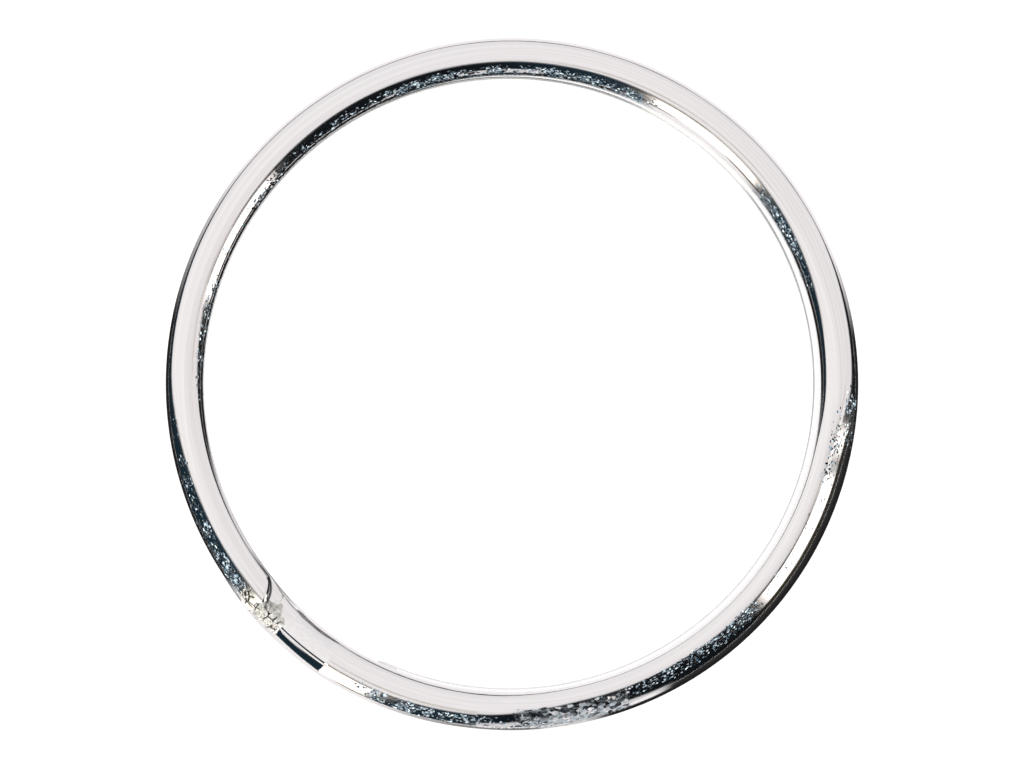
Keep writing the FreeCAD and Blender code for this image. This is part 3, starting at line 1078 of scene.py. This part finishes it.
white.use_nodes = True
tree = white.node_tree
base = tree.nodes["Principled BSDF"]
base.inputs["Base Color"].default_value = studio["floorColour"]
base.inputs["Roughness"].default_value = 1
base.inputs["Specular IOR Level"].default_value = 0
base.inputs["Emission Color"].default_value = (1, 1, 1, 1)
rays = tree.nodes.new("ShaderNodeLightPath")
seen = calc(tree, "MULTIPLY", rays.outputs["Is Camera Ray"], studio["floorGlow"])
mirrored = calc(tree, "MAXIMUM", rays.outputs["Is Glossy Ray"], rays.outputs["Is Transmission Ray"])
mirrored = calc(tree, "MULTIPLY", mirrored, studio["floorGleam"])
feed(tree, base.inputs["Emission Strength"], calc(tree, "ADD", seen, mirrored))
# clear from underneath, so that the ring's other side can be looked at
faces = tree.nodes.new("ShaderNodeNewGeometry")
clear = tree.nodes.new("ShaderNodeBsdfTransparent")
oneSided = tree.nodes.new("ShaderNodeMixShader")
tree.links.new(faces.outputs["Backfacing"], oneSided.inputs[0])
tree.links.new(base.outputs[0], oneSided.inputs[1])
tree.links.new(clear.outputs[0], oneSided.inputs[2])
tree.links.new(oneSided.outputs[0], tree.nodes["Material Output"].inputs["Surface"])
floor.data.materials.append(white)


def shadeCard(name):
    # a black gauze disc just over the table, thin and thick by degrees, which only the metal sees;
    # painted shade: it darkens the table in the metal's reflection, where the ring's shadow and the
    # room's dark side would leave it in shade
    nearRadius, farRadius = studio[name + "Radii"]
    deselectAll()
    bpy.ops.mesh.primitive_circle_add(
        vertices=studio["cardCorners"],
        radius=farRadius,
        fill_type="NGON",
        location=(0, 0, cadBox[0].z + studio["cardHeight"]),
    )
    card = bpy.context.object
    card.name = name
    bpy.ops.object.mode_set(mode="EDIT")
    bpy.ops.mesh.inset(thickness=farRadius - nearRadius, depth=0)
    bpy.ops.mesh.delete(type="FACE")
    bpy.ops.object.mode_set(mode="OBJECT")
    bpy.ops.object.transform_apply(location=True, rotation=True, scale=True)
    card.visible_camera = False
    card.visible_diffuse = False
    card.visible_shadow = False
    gauze = bpy.data.materials.new(name)
    gauze.use_nodes = True
    tree = gauze.node_tree
    black = tree.nodes["Principled BSDF"]
    black.inputs["Base Color"].default_value = studio["shadeCardColour"]
    black.inputs["Roughness"].default_value = 1
    place = tree.nodes.new("ShaderNodeGroup")
    place.node_tree = wirePlace
    share = calc(tree, "DIVIDE", place.outputs["Around"], 360.0)
    feed(tree, black.inputs["Alpha"], rampRound(tree, share, studio[name]))
    card.data.materials.append(gauze)


for cardName in ("insideCard", "outsideCard", "farCard"):
    shadeCard(cardName)

world = bpy.data.worlds.new("room")
bpy.context.scene.world = world
world.use_nodes = True
tree = world.node_tree
tree.nodes.clear()
output = tree.nodes.new("ShaderNodeOutputWorld")
background = tree.nodes.new("ShaderNodeBackground")
tree.links.new(background.outputs[0], output.inputs["Surface"])
place = tree.nodes.new("ShaderNodeTexCoord")
parts = tree.nodes.new("ShaderNodeSeparateXYZ")
tree.links.new(place.outputs["Generated"], parts.inputs[0])
heading = calc(tree, "ARCTAN2", parts.outputs[1], parts.outputs[0])
compass = calc(tree, "FLOORED_MODULO", calc(tree, "DEGREES", heading), 360.0)
tilt = calc(tree, "DEGREES", calc(tree, "ARCCOSINE", parts.outputs[2]))
turn = calc(tree, "DIVIDE", compass, 360.0)
below = calc(tree, "SUBTRACT", tilt, tiltRound(tree, turn, studio["ceilingEdge"]))
lit = stepBetween(tree, below, -studio["softness"], studio["softness"], 1.0, 0.0)
near = rampRound(tree, turn, studio["nearColour"])
lamps = 0
for compassSpan, compassSoft, tiltSpan, tiltSoft in studio["lamps"]:
    spot = product(
        tree,
        window(tree, compass, *compassSpan, compassSoft),
        window(tree, tilt, *tiltSpan, tiltSoft),
    )
    lamps = calc(tree, "MAXIMUM", lamps, spot)
gap = stepBetween(tree, tilt, *studio["gapTilt"], 1.0, studio["gapLevel"])
level = calc(tree, "MULTIPLY", gap, studio["wallLevel"])
wall = tree.nodes.new("ShaderNodeCombineXYZ")
for socket in wall.inputs:
    tree.links.new(level, socket)
tone = rampRound(tree, turn, studio["ceilingTone"])
tone = mixColours(tree, stepBetween(tree, tilt, *studio["middleTilt"]), studio["ceilingMiddle"], tone)
ceiling = mixColours(tree, stepBetween(tree, tilt, *studio["wallTilt"]), tone, wall.outputs[0])
fromSeam = calc(tree, "SUBTRACT", tilt, tiltRound(tree, turn, studio["seamTilt"]))
offSeam = calc(tree, "ABSOLUTE", fromSeam)
seamShows = rampRound(tree, turn, studio["seamShows"])
seam = stepBetween(tree, offSeam, studio["seamCore"], studio["seamWidth"], 1.0, 0.0)
seam = calc(tree, "MULTIPLY", seam, seamShows)
panels = mixColours(tree, seam, ceiling, studio["seamColour"])
room = mixColours(tree, lit, near, panels)
lowWall = calc(tree, "SUBTRACT", tilt, tiltRound(tree, turn, studio["lowWallTilt"]))
lowWall = product(
    tree,
    stepBetween(tree, lowWall, -studio["lowWallSoft"], studio["lowWallSoft"]),
    window(tree, compass, *studio["lowWallSpan"]),
    stepBetween(tree, tilt, *studio["lowWallEnd"]),
)
room = mixColours(tree, lowWall, room, (*[studio["lowWallLevel"]] * 3, 1))
lampColour = (*[part * studio["lampLevel"] for part in studio["lampColour"]], 1)
room = mixColours(tree, lamps, room, lampColour)
rays = tree.nodes.new("ShaderNodeLightPath")
room = mixColours(tree, rays.outputs["Is Camera Ray"], room, (1, 1, 1, 1))
tree.links.new(room, background.inputs["Color"])

# straight down on the ring, far enough to flatten the perspective
view = {"distance": 0.4, "width": 0.0518}
camera = bpy.data.cameras.new("camera")
camera.lens = camera.sensor_width * view["distance"] / view["width"]
cameraObject = bpy.data.objects.new("camera", camera)
cameraObject.location = (0, 0, view["distance"])
bpy.context.scene.collection.objects.link(cameraObject)
bpy.context.scene.camera = cameraObject
bpy.context.scene.view_settings.view_transform = "Standard"
print("studio made")
